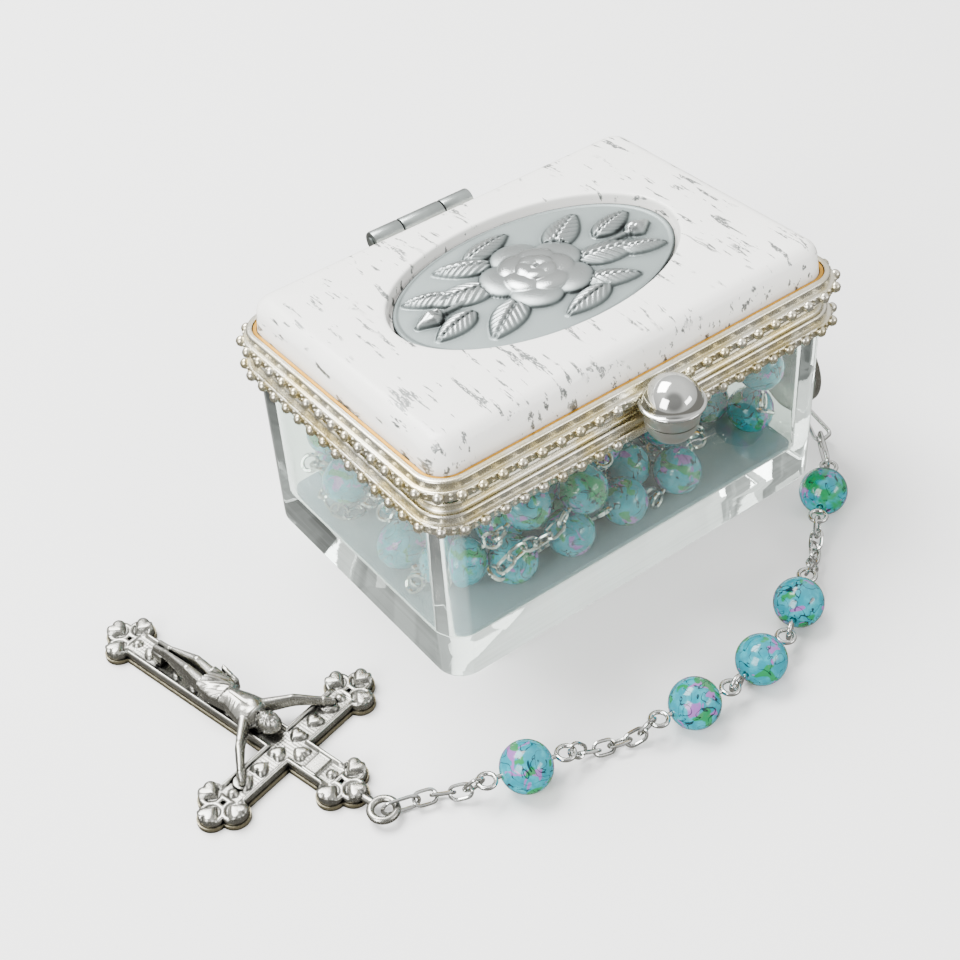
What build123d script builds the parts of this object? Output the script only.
"""A small rosary box: a clear base with a hinged, pearl-edged lid, and the rosary kept in it.

Frame: X runs along the long side, -Y is the front with the clasp, +Y the back with the hinge,
Z is up. The origin is the centre of the underside of the clear base. Sizes are in millimetres.
The lid rests on the strand that hangs out of the box, so it stands a little open.
"""
from build123d import *
import os
from math import atan2, ceil, cos, degrees, pi, radians, sin
import numpy as np

os.makedirs("parts", exist_ok=True)

# ---------------------------------------------------------------- driving sizes
# Clear base
box_length = 58.0
box_width = 39.6
box_corner = 3.4            # radius of the upright edges
base_height = 25.6
wall = 3.0
slab = 4.8                  # thickness of the clear floor
cavity_corner = 1.2
edge_break = 0.4
pad_thickness = 0.6
pad_gap = 0.25              # room round the pad

# Plated rims: how far each feature stands outside the clear base
flange_out = 1.35
flange_height = 1.15
lip_out = 0.75
lip_height = 1.05
lip_round = 0.42
rim_drop = 1.3              # how far the base rim reaches down over the clear base
rim_web = 1.8               # metal above the top of the clear base
band_in = 1.3               # the sloping band ends this far inside the base's face
seat_gap = 0.05             # glue line between rim and clear base
skirt = 0.55                # inner skirt of the rim
parting_gap = 0.1           # between the two rims when the lid is shut
pearl_size = 1.25
pearl_out = 1.5             # pearl centres, outside the clear base
pearl_pitch = 2.62
pearl_facets = 8

# Lid
lid_ajar = 2.2              # degrees; the strand of the rosary holds the lid up
well_floor = 0.9            # metal under the tray
tray_gap = 0.05
tray_wall = 0.3
tray_floor = 0.5
tray_lip = 1.1              # height of the tray's edge
plaque_inset = 0.55         # gilt strip left showing round the plaque
plaque_thickness = 5.0
plaque_corner = 3.0
plaque_draft = 7.0          # degrees
plaque_round = 2.0
recess_length = 35.4
recess_width = 22.2
recess_depth = 1.7
recess_slope = 1.2          # width of the cove round the medallion
medal_gap = 0.15
medal_thickness = 0.9
medal_border = 0.9

# Hinge
pin_radius = 0.45
pin_clearance = 0.05
barrel_radius = 1.4
barrel_back = 2.85          # pin axis behind the flange's face
barrel_rise = 1.9           # pin axis above the parting
knuckle_outer = 4.3
knuckle_inner = 6.2
knuckle_gap = 0.15
leaf_thickness = 0.7
leaf_relief = 0.3           # room between the base leaf and the lid's edge
pin_head = 0.35

# Clasp
ball_radius = 3.45
ball_flange = 0.65
ball_flange_thickness = 0.4
ball_under_radius = 3.1
ball_foot = 2.0             # width of the tongue that carries each half
clasp_clear = 0.6           # pearls stop this far from the ball

# Rosary
bead_radius = 3.0
bead_bore = 0.35
wire_radius = 0.27
eye_radius = 1.0            # centre line of an eye loop
plain_wire = 0.22           # half the thickness of the flat-sided loops in the heap
eye_neck = 0.35             # straight wire between bead and loop
link_length = 3.0
link_width = 2.0
link_wire = 0.42
link_slack = 0.25           # play where two loops meet
rest_gap = 0.02             # beads just clear of the table

# Crucifix
cross_bar = 4.2
cross_thickness = 1.7
cross_foot_length = 26.6
cross_head_length = 8.3
cross_arm_length = 10.0
lobe_radius = 1.75
lobe_spread = 1.75
bud_radius = 0.875          # of the bud on each lobe
rib_height = 0.4
rib_width = 0.5
bail_reach = 14.5
bail_wire = 0.45
bail_ring = 1.45
bail_height = 1.2
bail_neck_width = 1.2

# ---------------------------------------------------------------- worked-out sizes
cavity_length = box_length - 2 * wall
cavity_width = box_width - 2 * wall
rim_bottom = base_height - rim_drop
rim_top = base_height + rim_web
lid_bottom = rim_top + parting_gap
left_side = -box_length / 2
right_side = box_length / 2
front_side = -box_width / 2
opening_length = cavity_length - 2 * (seat_gap + skirt)
opening_width = cavity_width - 2 * (seat_gap + skirt)
flange_face = box_width / 2 + flange_out
pin_y = flange_face + barrel_back
pin_z = rim_top + barrel_rise
hinge_length = 2 * knuckle_outer + knuckle_inner + 2 * knuckle_gap
ball_y = -(flange_face + ball_radius * 0.72)
eye_reach = bead_radius + eye_neck + eye_radius + wire_radius
eye_step = 2 * (eye_radius - wire_radius) - link_slack
link_step = link_length - 2 * link_wire - link_slack
link_to_eye = link_length / 2 - link_wire + eye_radius - wire_radius - link_slack
link_to_wire = link_length / 2 - link_wire - wire_radius - link_slack / 2

lid_turn = Pos(0, pin_y, pin_z) * Rot(-lid_ajar, 0, 0) * Pos(0, -pin_y, -pin_z)


def lid_plane(height):
    """The level plane at this height of the shut lid, carried round to where the lid rests."""
    return Plane(lid_turn * Pos(0, 0, height))


def ring_sketch(out, corner=box_corner):
    """Outline of the clear base, grown outward by `out` (call inside a sketch)."""
    grown = max(corner + out, 0.3)
    return RectangleRounded(box_length + 2 * out, box_width + 2 * out, grown)


# ---------------------------------------------------------------- clear base and pad
with BuildPart() as acrylic_base:
    with BuildSketch():
        ring_sketch(0)
    extrude(amount=base_height)
    chamfer(acrylic_base.edges().group_by(Axis.Z)[0], edge_break)
    with BuildSketch(Plane.XY.offset(slab)):
        RectangleRounded(cavity_length, cavity_width, cavity_corner)
    extrude(amount=base_height - slab, mode=Mode.SUBTRACT)

with BuildPart() as floor_pad:
    with BuildSketch(Plane.XY.offset(slab)):
        RectangleRounded(cavity_length - 2 * pad_gap, cavity_width - 2 * pad_gap, cavity_corner)
    extrude(amount=pad_thickness)

# ---------------------------------------------------------------- pearls
with BuildPart() as pearl:
    with BuildSketch(Plane.XY.offset(-pearl_size / 2)):
        RegularPolygon(pearl_size / 2, pearl_facets)
    extrude(amount=pearl_size)
    chamfer(pearl.edges().group_by(Axis.Z)[0] + pearl.edges().group_by(Axis.Z)[-1], pearl_size * 0.27)


def pearl_spots():
    """Places of the pearls round a rim, in plan; the hinge and the clasp leave a gap."""
    line = RectangleRounded(
        box_length + 2 * pearl_out, box_width + 2 * pearl_out, box_corner + pearl_out
    ).wire()
    count = round(line.length / pearl_pitch)
    spots = []
    for turn in range(count):
        spot = line.position_at((turn + 0.5) / count)
        by_hinge = spot.Y > 0 and abs(spot.X) < hinge_length / 2 + pearl_size / 2
        by_clasp = spot.Y < 0 and abs(spot.X) < ball_radius + clasp_clear
        along_side = abs(spot.Y) > box_width / 2
        if not (along_side and (by_hinge or by_clasp)):
            spots.append((spot.X, spot.Y))
    return spots


pearl_places = pearl_spots()

# ---------------------------------------------------------------- base rim
with BuildPart() as base_rim:
    with BuildSketch(Plane.XY.offset(rim_bottom)):
        ring_sketch(flange_out)
    extrude(amount=flange_height)
    fillet(base_rim.edges().group_by(Axis.Z)[-1], 0.3)
    with BuildSketch(Plane.XY.offset(rim_bottom + flange_height / 2)):
        ring_sketch(lip_out)
    extrude(amount=flange_height / 2 + lip_height)
    fillet(base_rim.edges().group_by(Axis.Z)[-1], lip_round)
    band_start = rim_bottom + flange_height + lip_height - lip_round / 2
    band_run = band_in + lip_out - 2 * lip_round
    with BuildSketch(Plane.XY.offset(band_start)):
        ring_sketch(lip_out - 2 * lip_round)
    extrude(amount=rim_top - band_start, taper=degrees(atan2(band_run, rim_top - band_start)))
    with Locations(*[(x, y, rim_bottom + flange_height / 2) for x, y in pearl_places]):
        add(pearl.part)
    with BuildSketch(Plane.XY.offset(rim_bottom)):
        ring_sketch(seat_gap)
    extrude(amount=rim_drop, mode=Mode.SUBTRACT)
    with BuildSketch(Plane.XY.offset(rim_bottom)):
        RectangleRounded(cavity_length - 2 * seat_gap, cavity_width - 2 * seat_gap, cavity_corner)
    extrude(amount=rim_drop)
    with BuildSketch(Plane.XY.offset(rim_bottom)):
        RectangleRounded(opening_length, opening_width, cavity_corner)
    extrude(amount=rim_top - rim_bottom, mode=Mode.SUBTRACT)

# ---------------------------------------------------------------- lid frame
lip_top = lid_bottom + flange_height + lip_height
well_level = lid_bottom + well_floor
with BuildPart() as lid_frame_flat:
    with BuildSketch(Plane.XY.offset(lid_bottom)):
        ring_sketch(flange_out)
    extrude(amount=flange_height)
    fillet(lid_frame_flat.edges().group_by(Axis.Z)[-1], 0.3)
    with BuildSketch(Plane.XY.offset(lid_bottom + flange_height / 2)):
        ring_sketch(lip_out)
    extrude(amount=flange_height / 2 + lip_height)
    with BuildSketch(Plane.XY.offset(well_level)):
        ring_sketch(0)
    extrude(amount=lip_top - well_level, mode=Mode.SUBTRACT)
    fillet(lid_frame_flat.edges().group_by(Axis.Z)[-1], lip_round * 0.75)
    with Locations(*[(x, y, lid_bottom + flange_height / 2) for x, y in pearl_places]):
        add(pearl.part)
    with BuildSketch(Plane.XY.offset(lid_bottom)):
        RectangleRounded(opening_length, opening_width, cavity_corner)
    extrude(amount=well_floor, mode=Mode.SUBTRACT)

with BuildPart() as lid_frame:
    add(lid_turn * lid_frame_flat.part)

# ---------------------------------------------------------------- gilt tray, plaque, medallion
tray_top = well_level + tray_lip
with BuildPart() as lid_tray:
    with BuildSketch(lid_plane(well_level)):
        ring_sketch(-tray_gap)
    extrude(amount=tray_lip)
    with BuildSketch(lid_plane(well_level + tray_floor)):
        ring_sketch(-tray_gap - tray_wall)
    extrude(amount=tray_lip - tray_floor, mode=Mode.SUBTRACT)

plaque_bottom = well_level + tray_floor
plaque_top = plaque_bottom + plaque_thickness
with BuildPart() as lid_plaque_flat:
    with BuildSketch(Plane.XY.offset(plaque_bottom)):
        ring_sketch(-plaque_inset, plaque_corner + plaque_inset)
    extrude(amount=plaque_thickness, taper=plaque_draft)
    fillet(lid_plaque_flat.edges().group_by(Axis.Z)[-1], plaque_round)
    with BuildSketch(Plane.XY.offset(plaque_top)):
        Ellipse(recess_length / 2, recess_width / 2)
    with BuildSketch(Plane.XY.offset(plaque_top - recess_depth)):
        Ellipse(recess_length / 2 - recess_slope, recess_width / 2 - recess_slope)
    loft(mode=Mode.SUBTRACT)

with BuildPart() as lid_plaque:
    add(lid_turn * lid_plaque_flat.part)

medal_level = plaque_top - recess_depth
medal_a = recess_length / 2 - recess_slope - medal_gap
medal_b = recess_width / 2 - recess_slope - medal_gap
medal_sink = 0.3            # depth of the field inside the border
relief_root = 0.05          # the relief is rooted this deep in the field
petals = 5
petal_rings = ((3.1, 1.5, 0.45), (1.7, 1.1, 0.75))     # ring radius, petal radius, height
rose_heart = 1.0            # radius of the rose's middle
rose_height = 1.05
leaf_half_length = 2.7
leaf_half_width = 1.1
leaf_height = 0.45
# leaves: place in plan and turn in degrees
leaf_spray = (
    (-7.0, 0.6, 168),
    (7.2, -0.4, -10),
    (-5.2, -3.6, 215),
    (5.6, 3.4, 28),
    (-4.8, 4.0, 140),
    (4.6, -4.2, -42),
)
with BuildPart() as medallion:
    with BuildSketch(lid_plane(medal_level)):
        Ellipse(medal_a, medal_b)
    extrude(amount=medal_thickness)
    with BuildSketch(lid_plane(medal_level + medal_thickness - medal_sink)):
        Ellipse(medal_a - medal_border, medal_b - medal_border)
    extrude(amount=medal_sink, mode=Mode.SUBTRACT)
    ground = medal_level + medal_thickness - medal_sink - relief_root
    for ring_radius, petal_radius, petal_height in petal_rings:
        with BuildSketch(lid_plane(ground)):
            with PolarLocations(ring_radius, petals, start_angle=18 * ring_radius):
                Circle(petal_radius)
        extrude(amount=petal_height)
    with BuildSketch(lid_plane(ground)):
        Circle(rose_heart)
    extrude(amount=rose_height)
    for leaf_x, leaf_y, leaf_turn in leaf_spray:
        with BuildSketch(lid_plane(ground)):
            with Locations(Location((leaf_x, leaf_y), leaf_turn)):
                Ellipse(leaf_half_length, leaf_half_width)
        extrude(amount=leaf_height)

# ---------------------------------------------------------------- hinge
knuckle_starts = (
    -hinge_length / 2,
    -knuckle_inner / 2,
    hinge_length / 2 - knuckle_outer,
)


def hinge_round(radius, length, mode=Mode.ADD):
    """A round bar along the hinge's axis, from the place that Locations gives."""
    return Cylinder(
        radius, length, rotation=(0, 90, 0), align=(Align.CENTER, Align.CENTER, Align.MIN), mode=mode
    )


with BuildPart() as hinge_base_leaf:
    for start in (knuckle_starts[0], knuckle_starts[2]):
        with Locations((start, pin_y, pin_z)):
            hinge_round(barrel_radius, knuckle_outer)
        with BuildSketch(Plane.YZ.offset(start)):
            with BuildLine():
                Polyline(
                    (flange_face, rim_bottom + edge_break),
                    (flange_face, rim_bottom + flange_height),
                    (flange_face + leaf_relief, rim_bottom + flange_height + leaf_relief),
                    (pin_y - barrel_radius * 0.9, pin_z - barrel_radius * 0.3),
                    (pin_y, pin_z - barrel_radius * 0.6),
                    (pin_y + barrel_radius * 0.3, pin_z - barrel_radius * 0.9),
                    (flange_face + leaf_relief + leaf_thickness, rim_bottom + edge_break),
                    close=True,
                )
            make_face()
        extrude(amount=knuckle_outer)
    with BuildSketch(Plane.YZ.offset(-hinge_length / 2)):
        with BuildLine():
            Polyline(
                (flange_face, rim_bottom + edge_break),
                (flange_face, rim_bottom + flange_height),
                (flange_face + leaf_relief + leaf_thickness, rim_bottom + flange_height),
                (flange_face + leaf_relief + leaf_thickness, rim_bottom + edge_break),
                close=True,
            )
        make_face()
    extrude(amount=hinge_length)
    with Locations((-hinge_length / 2, pin_y, pin_z)):
        hinge_round(pin_radius + pin_clearance, hinge_length, Mode.SUBTRACT)

with BuildPart() as hinge_lid_leaf_flat:
    with Locations((knuckle_starts[1], pin_y, pin_z)):
        hinge_round(barrel_radius, knuckle_inner)
    with BuildSketch(Plane.YZ.offset(knuckle_starts[1])):
        with BuildLine():
            Polyline(
                (flange_face, lid_bottom + 0.1),
                (flange_face, lid_bottom + flange_height - 0.3),
                (pin_y - barrel_radius * 0.5, pin_z + barrel_radius * 0.8),
                (pin_y, pin_z),
                (pin_y - barrel_radius * 0.8, pin_z - barrel_radius * 0.6),
                close=True,
            )
        make_face()
    extrude(amount=knuckle_inner)
    with Locations((-hinge_length / 2, pin_y, pin_z)):
        hinge_round(pin_radius + pin_clearance, hinge_length, Mode.SUBTRACT)

with BuildPart() as hinge_lid_leaf:
    add(lid_turn * hinge_lid_leaf_flat.part)

with BuildPart() as hinge_pin:
    with Locations((-hinge_length / 2 - pin_head, pin_y, pin_z)):
        hinge_round(pin_radius, hinge_length + 2 * pin_head)
    with Locations(
        (-hinge_length / 2 - pin_head, pin_y, pin_z), (hinge_length / 2, pin_y, pin_z)
    ):
        hinge_round(pin_radius * 1.7, pin_head)

# ---------------------------------------------------------------- ball clasp
room = 4 * ball_radius      # of the blocks that trim the ball
with BuildPart() as clasp_upper_flat:
    with Locations((0, ball_y, lid_bottom)):
        Sphere(ball_radius)
        Cylinder(ball_radius + ball_flange, 2 * ball_flange_thickness)
    with Locations((0, ball_y, lid_bottom)):
        Box(room, room, room, align=(Align.CENTER, Align.CENTER, Align.MAX), mode=Mode.SUBTRACT)
    with Locations((0, -flange_face, lid_bottom)):
        Box(room, room, room, align=(Align.CENTER, Align.MIN, Align.CENTER), mode=Mode.SUBTRACT)

with BuildPart() as clasp_upper:
    add(lid_turn * clasp_upper_flat.part)

with BuildPart() as clasp_lower:
    with Locations((0, ball_y, rim_top)):
        Sphere(ball_under_radius)
        Box(room, room, room, align=(Align.CENTER, Align.CENTER, Align.MIN), mode=Mode.SUBTRACT)
    with Locations((0, -flange_face, rim_top)):
        Box(room, room, room, align=(Align.CENTER, Align.MIN, Align.CENTER), mode=Mode.SUBTRACT)

# ---------------------------------------------------------------- pieces of the strand
eye_outer = eye_radius + wire_radius
with BuildPart() as bead:
    Sphere(bead_radius, rotation=(0, 90, 0))
    Cylinder(bead_bore, 2 * bead_radius, rotation=(0, 90, 0), mode=Mode.SUBTRACT)


def eye_pin(roll_back, roll_ahead, plain):
    """Wire through a bead, along X, with a loop at each end; plain loops have flat sides."""
    with BuildPart() as pin:
        Cylinder(wire_radius, 2 * (eye_reach - eye_radius), rotation=(0, 90, 0))
        for place, roll in ((-eye_reach, roll_back), (eye_reach, roll_ahead)):
            with Locations((place, 0, 0)):
                if plain:
                    tilt = (roll, 0, 0)
                    Cylinder(eye_radius + plain_wire, 2 * plain_wire, rotation=tilt)
                    Cylinder(eye_radius - plain_wire, 2 * plain_wire, rotation=tilt, mode=Mode.SUBTRACT)
                else:
                    Torus(eye_radius, wire_radius, rotation=(roll, 0, 0))
    return pin.part


def oval_link(length, width, wire):
    """An oval link of round wire, lying level with its length along X."""
    side = (width - wire) / 2
    straight = (length - width) / 2
    with BuildPart() as link:
        with BuildLine() as line:
            Line((-straight, -side), (straight, -side))
            ThreePointArc((straight, -side), (straight + side, 0), (straight, side))
            Line((straight, side), (-straight, side))
            ThreePointArc((-straight, side), (-straight - side, 0), (-straight, -side))
        with BuildSketch(Plane(origin=(0, -side, 0), z_dir=(1, 0, 0))):
            Circle(wire / 2)
        sweep(path=line.wires()[0])
    return link.part


def flat_link(length, width, wire):
    """The same link with flat sides."""
    with BuildPart() as link:
        with BuildSketch(Plane.XY.offset(-wire / 2)):
            SlotOverall(length, width)
            SlotOverall(length - 2 * wire, width - 2 * wire, mode=Mode.SUBTRACT)
        extrude(amount=wire)
    return link.part


round_link = oval_link(link_length, link_width, link_wire)
plain_link = flat_link(link_length, link_width, link_wire)


def bearings(along):
    """Three square directions: ahead along the given one, level to its side, and up."""
    ahead = np.array(tuple(along), dtype=float)
    ahead = ahead / np.linalg.norm(ahead)
    side = np.cross((0, 0, 1), ahead)
    if np.linalg.norm(side) < 0.01:
        side = np.array((0.0, 1.0, 0.0))
    side = side / np.linalg.norm(side)
    return ahead, side, np.cross(ahead, side)


def placed(shape, at, along, roll):
    """The shape moved to a point, its X axis along a direction, turned about that direction."""
    ahead, _, up = bearings(along)
    frame = Plane(origin=tuple(at), x_dir=tuple(ahead), z_dir=tuple(up))
    return frame.location * Rot(roll, 0, 0) * shape


# Joined loops: each is turned about its own heading until the wires pass clear of each other
roll_step = 5.0
rolls = np.arange(0, 180, roll_step)
wire_room = 0.95            # joined wires aim to pass this far apart, centre to centre
loop_sizes = {
    "eye": (2 * eye_radius, 2 * eye_radius),
    "link": (link_length - link_wire, link_width - link_wire),
}


def loop_lines(kind, spot, heading):
    """Points along the wire of a loop, for every roll: rolls x points x 3."""
    length, width = loop_sizes[kind]
    turn = np.linspace(0, 2 * pi, 24, endpoint=False)
    along = np.cos(turn) * width / 2 + np.sign(np.cos(turn)) * (length - width) / 2
    across = np.sin(turn) * width / 2
    ahead, side, up = bearings(heading)
    aside = np.cos(np.radians(rolls))[:, None] * side + np.sin(np.radians(rolls))[:, None] * up
    return np.array(tuple(spot)) + along[None, :, None] * ahead + across[None, :, None] * aside[:, None]


def turn_loops(loops):
    """Rolls for a row of loops (kind, spot, heading, joined to the one before, largest roll or None,
    fixed roll or None), so that joined wires keep as much room as they can."""
    cost = np.zeros(len(rolls))
    choices = []
    previous = None
    for kind, spot, heading, joined, largest, fixed in loops:
        lines = loop_lines(kind, spot, heading)
        step = np.zeros((len(rolls), len(rolls)))
        if joined:
            apart = np.linalg.norm(previous[:, None, :, None] - lines[None, :, None, :], axis=-1)
            step = np.maximum(wire_room - apart.min(axis=(2, 3)), 0) ** 2
        if largest is not None:
            step[:, np.minimum(rolls, 180 - rolls) > largest] += 1000
        if fixed is not None:
            step[:, np.abs(rolls - fixed) > roll_step / 2] += 1000
        total = cost[:, None] + step
        choices.append(total.argmin(axis=0))
        cost = total.min(axis=0)
        previous = lines
    pick = int(cost.argmin())
    picked = []
    for choice in reversed(choices):
        picked.append(float(rolls[pick]))
        pick = int(choice[pick])
    return picked[::-1]


def roll_of(heading, across):
    """The roll of a loop that lies along its heading and across the other direction."""
    _, side, up = bearings(heading)
    across = np.array(tuple(across))
    return degrees(atan2(across @ up, across @ side)) % 180


def pull(line, heading, roll):
    """The direction in the plane of a loop in which something that lies along the line pulls it."""
    ahead, side, up = bearings(heading)
    aside = side * cos(radians(roll)) + up * sin(radians(roll))
    drawn = (line @ ahead) * ahead + (line @ aside) * aside
    return drawn / np.linalg.norm(drawn)


def chain(route, first, last, largest=None):
    """Links evenly spaced along a route; first and last are the (heading, roll) of the loops they join."""
    points = np.array([tuple(point) for point in route], dtype=float)
    loops = [("eye", points[0].copy(), first[0], False, None, first[1])]
    last_loop = ("eye", points[-1].copy(), last[0], True, None, last[1])
    points[0] += eye_radius * pull(points[1] - points[0], *first)
    points[-1] += eye_radius * pull(points[-2] - points[-1], *last)
    legs = np.linalg.norm(np.diff(points, axis=0), axis=1)
    ends = np.concatenate([[0], np.cumsum(legs)])
    count = 1 + max(0, ceil((ends[-1] - 2 * link_to_wire) / (link_step + link_slack / 2)))
    gap = (ends[-1] - 2 * link_to_wire) / max(count - 1, 1)

    def at(run):
        return np.array([np.interp(run, ends, points[:, k]) for k in range(3)])

    for turn in range(count):
        here = link_to_wire + gap * turn
        spot = at(here)
        heading = at(here + link_length / 3) - at(here - link_length / 3)
        squeezed = largest if spot[2] > rim_top - link_width / 2 else None
        loops.append(("link", spot, heading, True, squeezed, None))
    loops.append(last_loop)
    turned = turn_loops(loops)
    return [placed(round_link, loop[1], loop[2], roll) for loop, roll in zip(loops[1:-1], turned[1:-1])]


def group(shapes):
    """Separate solids kept together in one part."""
    with BuildPart() as gathered:
        add(shapes, mode=Mode.REPLACE)
    return gathered


# ---------------------------------------------------------------- pendant on the table
bead_level = bead_radius + rest_gap
pendant_beads = {
    "our_father_bead_1": (left_side - 2.2, front_side - 16.2, -15.2),
    "hail_mary_bead_1": (-11.3, front_side - 21.1, -10.0),
    "hail_mary_bead_2": (-1.2, front_side - 21.1, 10.0),
    "hail_mary_bead_3": (8.3, front_side - 17.4, 33.0),
    "our_father_bead_2": (right_side - 4.9, front_side - 5.7, 37.0),
}
pendant_nodes = {}
eye_spots = {}
headings = {}
for bead_name, (bead_x, bead_y, bead_turn) in pendant_beads.items():
    heading = np.array((cos(radians(bead_turn)), sin(radians(bead_turn)), 0))
    middle = np.array((bead_x, bead_y, bead_level))
    pendant_nodes[bead_name] = group([placed(bead.part, middle, heading, 0)])
    headings[bead_name] = heading
    eye_spots[bead_name] = (middle - eye_reach * heading, middle + eye_reach * heading)

# Rolls of the loops at the back and the front end of each pin
pendant_rolls = {
    "our_father_bead_1": (0, 0),
    "hail_mary_bead_1": (0, 0),
    "hail_mary_bead_2": (90, 0),
    "hail_mary_bead_3": (90, 0),
    "our_father_bead_2": (0, 0),
}
pendant_eye_pins = group(
    [
        placed(eye_pin(*pendant_rolls[name], False), sum(eye_spots[name]) / 2, headings[name], 0)
        for name in pendant_beads
    ]
)

bail_x = left_side - 17.0
bail_y = front_side - 9.9
jump_length = 4.6
jump_width = 2.3
jump_turn = -17
jump_heading = np.array((cos(radians(jump_turn)), sin(radians(jump_turn)), 0))
jump_reach = jump_length / 2 - link_wire / 2
jump_centre = np.array((bail_x, bail_y, bail_height)) + jump_reach * jump_heading
jump_end = jump_centre + (jump_reach - eye_radius) * jump_heading
jump_ring = group([placed(oval_link(jump_length, jump_width, link_wire), jump_centre, jump_heading, 90)])

by_crucifix = [
    jump_end,
    (left_side - 11.2, front_side - 11.7, 1.1),
    (left_side - 8.6, front_side - 13.6, 1.4),
    eye_spots["our_father_bead_1"][0],
]
chain_by_crucifix = group(chain(by_crucifix, (jump_heading, 90), (headings["our_father_bead_1"], 0)))
to_hail_marys = [
    eye_spots["our_father_bead_1"][1],
    (left_side + 4.6, front_side - 17.8, 1.5),
    (left_side + 7.6, front_side - 18.5, 1.0),
    (left_side + 10.7, front_side - 19.6, 1.3),
    eye_spots["hail_mary_bead_1"][0],
]
chain_to_hail_marys = group(
    chain(to_hail_marys, (headings["our_father_bead_1"], 0), (headings["hail_mary_bead_1"], 0))
)
to_our_father = [
    eye_spots["hail_mary_bead_3"][1],
    (right_side - 13.8, front_side - 13.0, 1.4),
    (right_side - 11.2, front_side - 10.8, 1.2),
    eye_spots["our_father_bead_2"][0],
]
chain_to_our_father = group(
    chain(to_our_father, (headings["hail_mary_bead_3"], 0), (headings["our_father_bead_2"], 0))
)

tie_length = 6.95
tie_width = 2.6
tie_hold = 0.35             # the tie's wire stands this far out from the middle of the bead's eye
tie_end = np.array((right_side + 2.75, front_side + 2.52, 2.38))
tie_start = eye_spots["our_father_bead_2"][1]
tie_heading = (tie_end - tie_start) / np.linalg.norm(tie_end - tie_start)
tie_middle = tie_start + (tie_hold + tie_length / 2 - wire_radius) * tie_heading
tie_link = group([placed(oval_link(tie_length, tie_width, 2 * wire_radius), tie_middle, tie_heading, 90)])

# Triangular ring of bent wire, between the tie link and the centrepiece
corner_near = Vector(right_side + 1.4, front_side + 1.5, 2.4)
corner_out = Vector(right_side + 4.9, front_side + 2.5, 1.7)
corner_far = Vector(right_side + 4.5, front_side + 9.3, 4.6)
corner_radius = 0.8
with BuildPart() as triangle_ring:
    with BuildLine() as triangle_line:
        FilletPolyline(corner_near, corner_out, corner_far, radius=corner_radius, close=True)
    with BuildSketch(Plane(triangle_line.wires()[0] ^ 0)):
        Circle(wire_radius)
    sweep(path=triangle_line.wires()[0])

# ---------------------------------------------------------------- centrepiece
centre_height = 13.0
centre_width = 11.0
centre_thickness = 1.3
centre_border = 0.9
centre_sink = 0.3           # depth of the field inside the border
centre_eye = 1.25
centre_eye_hole = 0.72
centre_eye_thickness = 0.4
centre_middle = Vector(right_side + 3.3, front_side + 9.9, 10.4)
centre_up = Vector(-0.1, 0.4, 0.91).normalized()
centre_across = centre_up.cross(Vector(1, 0, 0)).normalized()
centre_face = Plane(origin=centre_middle, x_dir=centre_across, z_dir=centre_across.cross(centre_up))
top_eye_x = 4.0
top_eye_y = 5.6
bottom_eye_y = -centre_height / 2 - 0.8
eye_places = ((0, bottom_eye_y), (-top_eye_x, top_eye_y), (top_eye_x, top_eye_y))
with BuildPart() as centrepiece:
    with BuildSketch(centre_face.offset(-centre_thickness / 2)):
        Ellipse(centre_width / 2, centre_height / 2)
    extrude(amount=centre_thickness)
    with BuildSketch(centre_face.offset(centre_thickness / 2)):
        Ellipse(centre_width / 2 - centre_border, centre_height / 2 - centre_border)
    extrude(amount=-centre_sink, mode=Mode.SUBTRACT)
    with BuildSketch(centre_face.offset(-centre_eye_thickness / 2)):
        with Locations(*eye_places):
            Circle(centre_eye)
    extrude(amount=centre_eye_thickness)
    with BuildSketch(centre_face.offset(-centre_thickness / 2)):
        with Locations(*eye_places):
            Circle(centre_eye_hole)
    extrude(amount=centre_thickness, mode=Mode.SUBTRACT)
top_eyes = [centre_face.from_local_coords((side * top_eye_x, top_eye_y, 0)) for side in (-1, 1)]
top_eyes = sorted((tuple(eye) for eye in top_eyes), key=lambda eye: eye[1])

# ---------------------------------------------------------------- heap of beads in the box
floor_level = slab + pad_thickness
decades = 5
beads_per_decade = 10
links_per_run = 5
knot_gap = 0.12
wall_clear = 0.15
bare_end = 7.0              # the heap leaves the right-hand end of the floor bare
heap_slope = 0.5
strand_in = 2.8             # the strand's first and last loops hang this far from the end wall
strand_below = 2.8          # and this far below the rim
strand_front = 5.0          # the two runs leave the box this far from the front wall
strand_back = 8.2
heap_end = cavity_length / 2 - bare_end
inside_x = cavity_length / 2 - strand_in
inside_z = rim_bottom - strand_below
inside_front = (inside_x, -cavity_width / 2 + strand_front, inside_z)
inside_back = (inside_x, -cavity_width / 2 + strand_back, inside_z)


def strand_pattern():
    """The strand inside the box, knot by knot, from one end to the other."""
    pinned = ["eye", "bead", "eye"]
    run = ["link"] * links_per_run
    decade = pinned * beads_per_decade
    return decade + (run + pinned + run + decade) * (decades - 1)


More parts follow.
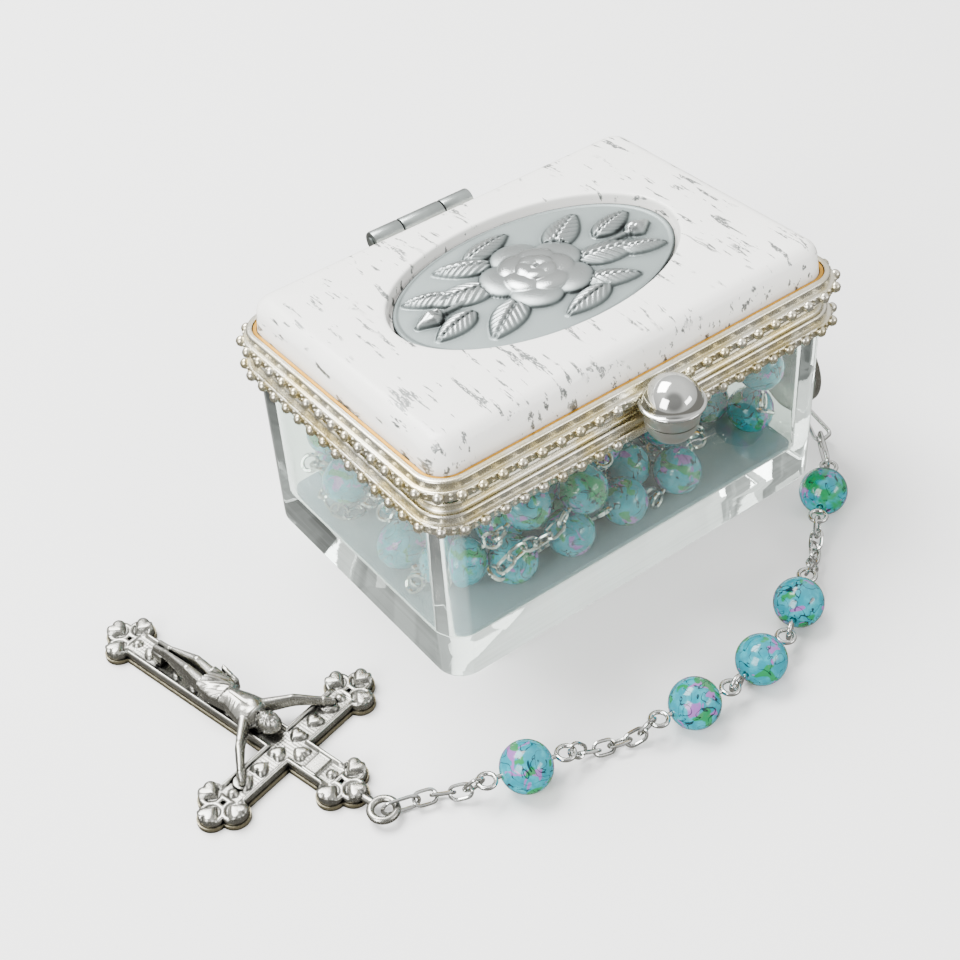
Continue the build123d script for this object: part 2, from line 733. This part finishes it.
def settle(pattern, fall_steps=1600, seed=3):
    """Let the strand fall into the box: knots keep their spans, clear of each other and the walls."""
    kinds = np.array(pattern)
    count = len(kinds)
    sizes = {"bead": bead_radius, "eye": eye_outer, "link": link_length / 2 - link_slack / 2}
    spans = {
        ("eye", "bead"): eye_reach,
        ("bead", "eye"): eye_reach,
        ("eye", "eye"): eye_step,
        ("eye", "link"): link_to_eye,
        ("link", "eye"): link_to_eye,
        ("link", "link"): link_step,
    }
    size = np.array([sizes[kind] for kind in kinds])
    span = np.array([spans[pair] for pair in zip(pattern, pattern[1:])])
    # laid in rows, to and fro, above the floor
    run = np.concatenate([[0], np.cumsum(span)])
    row_length = cavity_length * 0.7
    rows = 5
    row = (run // row_length).astype(int)
    phase = run % row_length
    layer = row // rows
    lane = np.where(layer % 2 == 0, row % rows, rows - 1 - row % rows)
    start = -cavity_length * 0.42
    spots = np.stack(
        [
            start + np.where(row % 2 == 0, phase, row_length - phase),
            (lane - (rows - 1) / 2) * (cavity_width - 2 * bead_radius) / (rows - 0.8),
            floor_level + 4 + layer * 7.0,
        ],
        axis=1,
    )
    spots = spots + np.random.default_rng(seed).uniform(-0.4, 0.4, spots.shape)
    before = spots.copy()
    first, second = np.triu_indices(count, 2)
    same_pin = (second - first == 2) & (kinds[np.minimum(first + 1, count - 1)] == "bead")
    first, second = first[~same_pin], second[~same_pin]
    least = size[first] + size[second] + knot_gap
    beads = np.flatnonzero(kinds == "bead")
    between = np.array(["bead" not in pair for pair in zip(pattern, pattern[1:])])
    half = np.array([cavity_length / 2, cavity_width / 2]) - wall_clear
    heaped = slice(3 * 3, count - 3 * 3)

    def hold(left, right, distance):
        line = spots[right] - spots[left]
        length = np.linalg.norm(line, axis=1)
        shift = line * ((length - distance) / np.maximum(length, 1e-9) / 2)[:, None]
        np.add.at(spots, left, shift)
        np.add.at(spots, right, -shift)

    def stiffen():
        ahead = spots[beads + 1] - spots[beads - 1]
        ahead = ahead / np.linalg.norm(ahead, axis=1)[:, None] * eye_reach
        middle = (spots[beads - 1] + spots[beads] + spots[beads + 1]) / 3
        spots[beads - 1] = middle - ahead
        spots[beads] = middle
        spots[beads + 1] = middle + ahead

    joints = np.flatnonzero(between)
    even = joints[::2]
    odd = joints[1::2]
    for step in range(2 * fall_steps):
        falling = step < fall_steps
        if falling:
            moved = spots + (spots - before) * 0.9
            moved[:, 2] -= 0.012
            before = spots.copy()
            spots = moved
        for _ in range(2 if falling else 3):
            hold(even, even + 1, span[even])
            hold(odd, odd + 1, span[odd])
            line = spots[second] - spots[first]
            length = np.linalg.norm(line, axis=1)
            hit = length < least
            push = line[hit] * ((length[hit] - least[hit]) / length[hit] / 2)[:, None]
            np.add.at(spots, first[hit], push)
            np.add.at(spots, second[hit], -push)
            if falling:
                edge = heap_end - heap_slope * (spots[heaped, 2] - floor_level) - size[heaped]
                spots[heaped, 0] = np.minimum(spots[heaped, 0], edge)
            room = half - size[:, None]
            spots[:, :2] = np.clip(spots[:, :2], -room, room)
            spots[:, 2] = np.maximum(spots[:, 2], floor_level + size + rest_gap)
            spots[0] = inside_front
            spots[-1] = inside_back
            stiffen()
        spots = np.round(spots, 6)
        apart = np.linalg.norm(spots[second] - spots[first], axis=1) - least
        stretch = np.linalg.norm(spots[joints + 1] - spots[joints], axis=1) - span[joints]
        if not falling and apart.min() > -knot_gap / 6 and np.abs(stretch).max() < link_slack / 3:
            break
    return kinds, spots


kinds, spots = settle(strand_pattern())
heap_loops = []
heap_beads = []
for index, kind in enumerate(kinds):
    if kind == "bead":
        heading = spots[index + 1] - spots[index - 1]
        heap_beads.append(placed(bead.part, spots[index], heading, 0))
        heap_loops.append(("eye", spots[index - 1], heading, bool(heap_loops), None, None))
        heap_loops.append(("eye", spots[index + 1], heading, False, None, None))
    if kind == "link":
        heading = spots[index + 1] - spots[index - 1]
        heap_loops.append(("link", spots[index], heading, True, None, None))

heap_rolls = turn_loops(heap_loops)
heap_pins = []
heap_links = []
loop = 0
while loop < len(heap_loops):
    kind, spot, heading = heap_loops[loop][:3]
    if kind == "link":
        heap_links.append(placed(plain_link, spot, heading, heap_rolls[loop]))
        loop += 1
    else:
        pin = eye_pin(heap_rolls[loop], heap_rolls[loop + 1], True)
        heap_pins.append(placed(pin, (spot + heap_loops[loop + 1][1]) / 2, heading, 0))
        loop += 2

per_group = beads_per_decade + 1
our_fathers = [shape for number, shape in enumerate(heap_beads) if number % per_group == beads_per_decade]
hail_marys = [shape for number, shape in enumerate(heap_beads) if number % per_group != beads_per_decade]
heap_nodes = {
    f"decade_{number + 1}_beads": group(hail_marys[number * beads_per_decade:(number + 1) * beads_per_decade])
    for number in range(decades)
}
heap_nodes["decade_our_father_beads"] = group(our_fathers)
heap_nodes["decade_eye_pins"] = group(heap_pins)
heap_nodes["decade_links"] = group(heap_links)

# ---------------------------------------------------------------- strands over the rim
strand_rise = 0.64          # middle of the strand above the rim, where the lid rests on it
over_level = rim_top + strand_rise
over_front = [
    top_eyes[0],
    (right_side + 3.3, front_side + 7.8, rim_top - 6.4),
    (right_side + 3.5, front_side + 7.3, rim_top - 1.6),
    (right_side + 1.9, front_side + 7.1, over_level - 0.35),
    (right_side - 0.8, front_side + 7.3, over_level),
    (right_side - 3.0, front_side + 7.4, over_level),
    (right_side - 4.3, front_side + 7.5, over_level - 0.1),
    (right_side - 5.4, front_side + 7.7, over_level - 2.0),
    inside_front,
]
over_back = [
    top_eyes[1],
    (right_side + 3.3, front_side + 13.3, rim_top - 7.4),
    (right_side + 3.5, front_side + 11.4, rim_top - 1.6),
    (right_side + 1.9, front_side + 11.0, over_level - 0.35),
    (right_side - 0.8, front_side + 10.9, over_level),
    (right_side - 3.0, front_side + 10.9, over_level),
    (right_side - 4.3, front_side + 10.9, over_level - 0.1),
    (right_side - 5.4, front_side + 11.0, over_level - 2.0),
    inside_back,
]
squeezed_roll = 25.0        # the links lie nearly flat where the lid presses on them
from_centrepiece = (centre_up, roll_of(centre_up, centre_face.x_dir))
chain_over_rim_front = group(
    chain(over_front, from_centrepiece, (heap_loops[0][2], heap_rolls[0]), squeezed_roll)
)
chain_over_rim_back = group(
    chain(over_back, from_centrepiece, (heap_loops[-1][2], heap_rolls[-1]), squeezed_roll)
)

# ---------------------------------------------------------------- crucifix
# Its own frame: X along the arms, Y towards the foot, Z up from the table
cross_x = left_side - 20.1
cross_y = front_side + 4.3
cross_turn = 13.2
cross_place = Pos(cross_x, cross_y, rest_gap) * Rot(0, 0, cross_turn)
bar_ends = (
    (0, cross_foot_length, 0, 1),
    (0, -cross_head_length, 0, -1),
    (cross_arm_length, 0, 1, 0),
    (-cross_arm_length, 0, -1, 0),
)
lobe_places = []
for end_x, end_y, way_x, way_y in bar_ends:
    lobe_places += [
        (end_x + way_x * lobe_spread, end_y + way_y * lobe_spread),
        (end_x + way_y * lobe_spread, end_y + way_x * lobe_spread),
        (end_x - way_y * lobe_spread, end_y - way_x * lobe_spread),
    ]
shaft_length = cross_foot_length + cross_head_length
shaft_middle = (cross_foot_length - cross_head_length) / 2
bail_neck = bail_reach - cross_head_length - lobe_spread


def cross_outline(inset):
    """Both bars and the three lobes at each end, drawn in by `inset` (call inside a sketch)."""
    with Locations((0, shaft_middle)):
        Rectangle(cross_bar - 2 * inset, shaft_length)
    Rectangle(2 * cross_arm_length, cross_bar - 2 * inset)
    with Locations(*lobe_places):
        Circle(lobe_radius - inset)


panel_level = cross_thickness - rib_height
with BuildPart() as crucifix_flat:
    with BuildSketch():
        cross_outline(0)
    extrude(amount=cross_thickness)
    with BuildSketch(Plane.XY.offset(panel_level)):
        cross_outline(rib_width)
    extrude(amount=rib_height, mode=Mode.SUBTRACT)
    with Locations((0, -bail_reach, bail_height - rest_gap)):
        Torus(bail_ring, bail_wire)
    with Locations((0, -bail_reach + bail_ring, bail_height - rest_gap)):
        Box(bail_neck_width, bail_neck, 2 * bail_wire, align=(Align.CENTER, Align.MIN, Align.CENTER))
    for lobe_x, lobe_y in lobe_places:
        with Locations((lobe_x, lobe_y, panel_level)):
            Cylinder(bud_radius, 2 * rib_height)

crucifix = group([cross_place * crucifix_flat.part])


def limb(start, end, start_radius, end_radius):
    """A tapered round limb between two points."""
    line = Vector(*end) - Vector(*start)
    upright = (Align.CENTER, Align.CENTER, Align.MIN)
    cone = Cone(start_radius, end_radius, line.length, align=upright, mode=Mode.PRIVATE)
    return Plane(origin=Vector(*start), z_dir=line).location * cone


head_radius = 1.3
head_y = 3.0
shoulder = (1.8, 4.9)
hand = (6.9, 0.1)
hip = (0.75, 12.2)
ankle = (0.35, 20.2)
toe_y = 22.0
body_level = panel_level + 0.85
with BuildPart() as corpus_flat:
    with Locations((0.3, head_y, panel_level + head_radius)):
        Sphere(head_radius)
    for body_y, half_width, half_depth in ((4.4, 2.1, 0.9), (9.2, 1.35, 0.95), (11.6, 1.7, 1.1)):
        with BuildSketch(Plane(origin=(0, body_y, body_level), x_dir=(1, 0, 0), z_dir=(0, 1, 0))):
            Ellipse(half_width, half_depth)
    loft()
    for body_y, half_width, half_depth in ((10.4, 1.9, 1.2), (13.8, 1.6, 1.15)):
        with BuildSketch(Plane(origin=(0, body_y, body_level), x_dir=(1, 0, 0), z_dir=(0, 1, 0))):
            Ellipse(half_width, half_depth)
    loft()
    for side in (-1, 1):
        shoulder_spot = (side * shoulder[0], shoulder[1], body_level)
        hand_spot = (side * hand[0], hand[1], panel_level + 0.45)
        hip_spot = (side * hip[0], hip[1], body_level)
        ankle_spot = (side * ankle[0], ankle[1], panel_level + 0.6)
        add(limb(shoulder_spot, hand_spot, 0.75, 0.4))
        add(limb(hip_spot, ankle_spot, 0.9, 0.5))
        heel_spot = (side * ankle[0] * 1.2, ankle[1] - 0.3, panel_level + 0.62)
        add(limb(heel_spot, (side * ankle[0] * 1.6, toe_y, panel_level + 0.4), 0.58, 0.36))
        with Locations(hand_spot):
            Sphere(0.6)
    with Locations((0, head_y + 1.3, body_level)):
        Cylinder(0.6, 1.4, rotation=(90, 0, 0))
    add(crucifix_flat.part, mode=Mode.SUBTRACT)

corpus = group([cross_place * corpus_flat.part])

# ---------------------------------------------------------------- write the pieces
nodes = {
    "acrylic_base": acrylic_base,
    "floor_pad": floor_pad,
    "base_rim": base_rim,
    "lid_frame": lid_frame,
    "lid_tray": lid_tray,
    "lid_plaque": lid_plaque,
    "medallion": medallion,
    "hinge_base_leaf": hinge_base_leaf,
    "hinge_lid_leaf": hinge_lid_leaf,
    "hinge_pin": hinge_pin,
    "clasp_upper": clasp_upper,
    "clasp_lower": clasp_lower,
    "crucifix": crucifix,
    "corpus": corpus,
    "jump_ring": jump_ring,
    "chain_by_crucifix": chain_by_crucifix,
    "chain_to_hail_marys": chain_to_hail_marys,
    "chain_to_our_father": chain_to_our_father,
    "pendant_eye_pins": pendant_eye_pins,
    "tie_link": tie_link,
    "triangle_ring": triangle_ring,
    "centrepiece": centrepiece,
    "chain_over_rim_front": chain_over_rim_front,
    "chain_over_rim_back": chain_over_rim_back,
}
nodes.update(pendant_nodes)
nodes.update(heap_nodes)

for name, piece in nodes.items():
    piece.part.label = name
    export_step(piece.part, f"parts/{name}.step")
